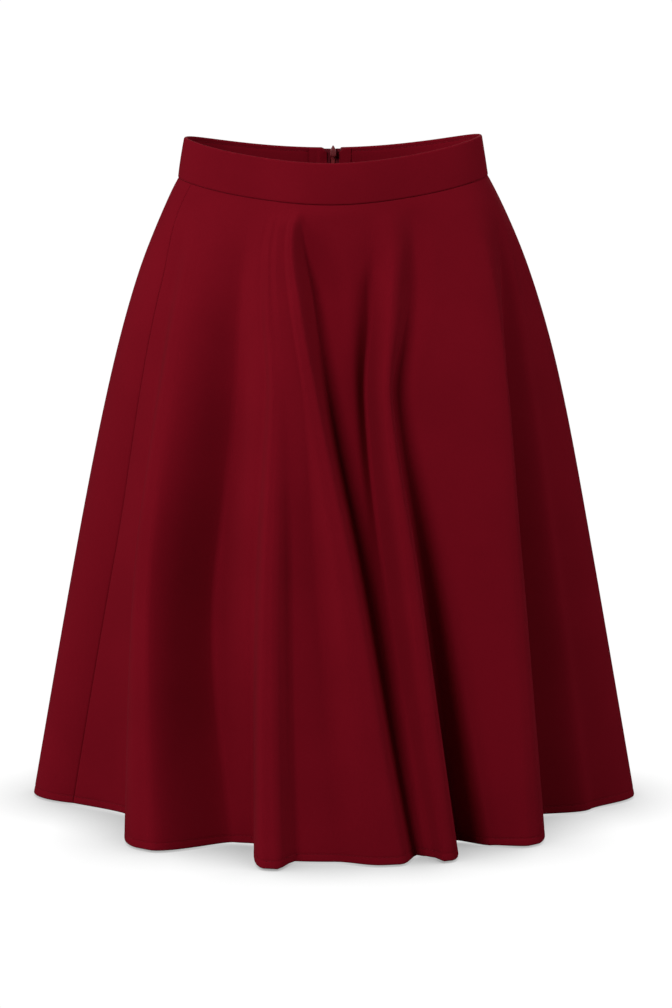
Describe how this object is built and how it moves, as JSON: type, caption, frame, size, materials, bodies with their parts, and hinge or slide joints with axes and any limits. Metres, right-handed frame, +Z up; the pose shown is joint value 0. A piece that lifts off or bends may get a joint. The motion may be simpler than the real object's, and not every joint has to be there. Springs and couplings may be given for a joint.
{
  "type": "a-line midi skirt",
  "caption": "Flared skirt with a shaped waistband, deep soft folds round the hem and a concealed centre back zip, filled out as when it is worn.",
  "frame": {"origin": "middle of the waist, level with the top edge of the waistband at the centre front", "axes": "+Z up the wearer's body, -Y the front of the skirt, +X the viewer's right when facing the front"},
  "size_m": [0.5881, 0.5081, 0.6439],
  "materials": {
    "skirt_cloth": "deep crimson wool-look crepe, matt",
    "zip_tape": "fine woven tape, dyed to match",
    "zip_coil": "dyed nylon coil",
    "zip_metal": "painted to match the cloth"
  },
  "bodies": {
    "skirt": {"front_panel": "skirt_cloth", "back_panel_left": "skirt_cloth", "back_panel_right": "skirt_cloth", "waistband": "skirt_cloth", "zip_tape_left": "zip_tape", "zip_tape_right": "zip_tape", "zip_coil": "zip_coil", "zip_slider": "zip_metal"},
    "pull_tab": {"zip_pull_tab": "zip_metal"}
  },
  "joints": [
    {"name": "pull_tab_hinge", "type": "hinge", "parent": "skirt", "child": "pull_tab", "pos_m": [0, 0.0936, -0.00085], "axis": [1, 0, 0], "range_deg": [0, 160]}
  ]
}
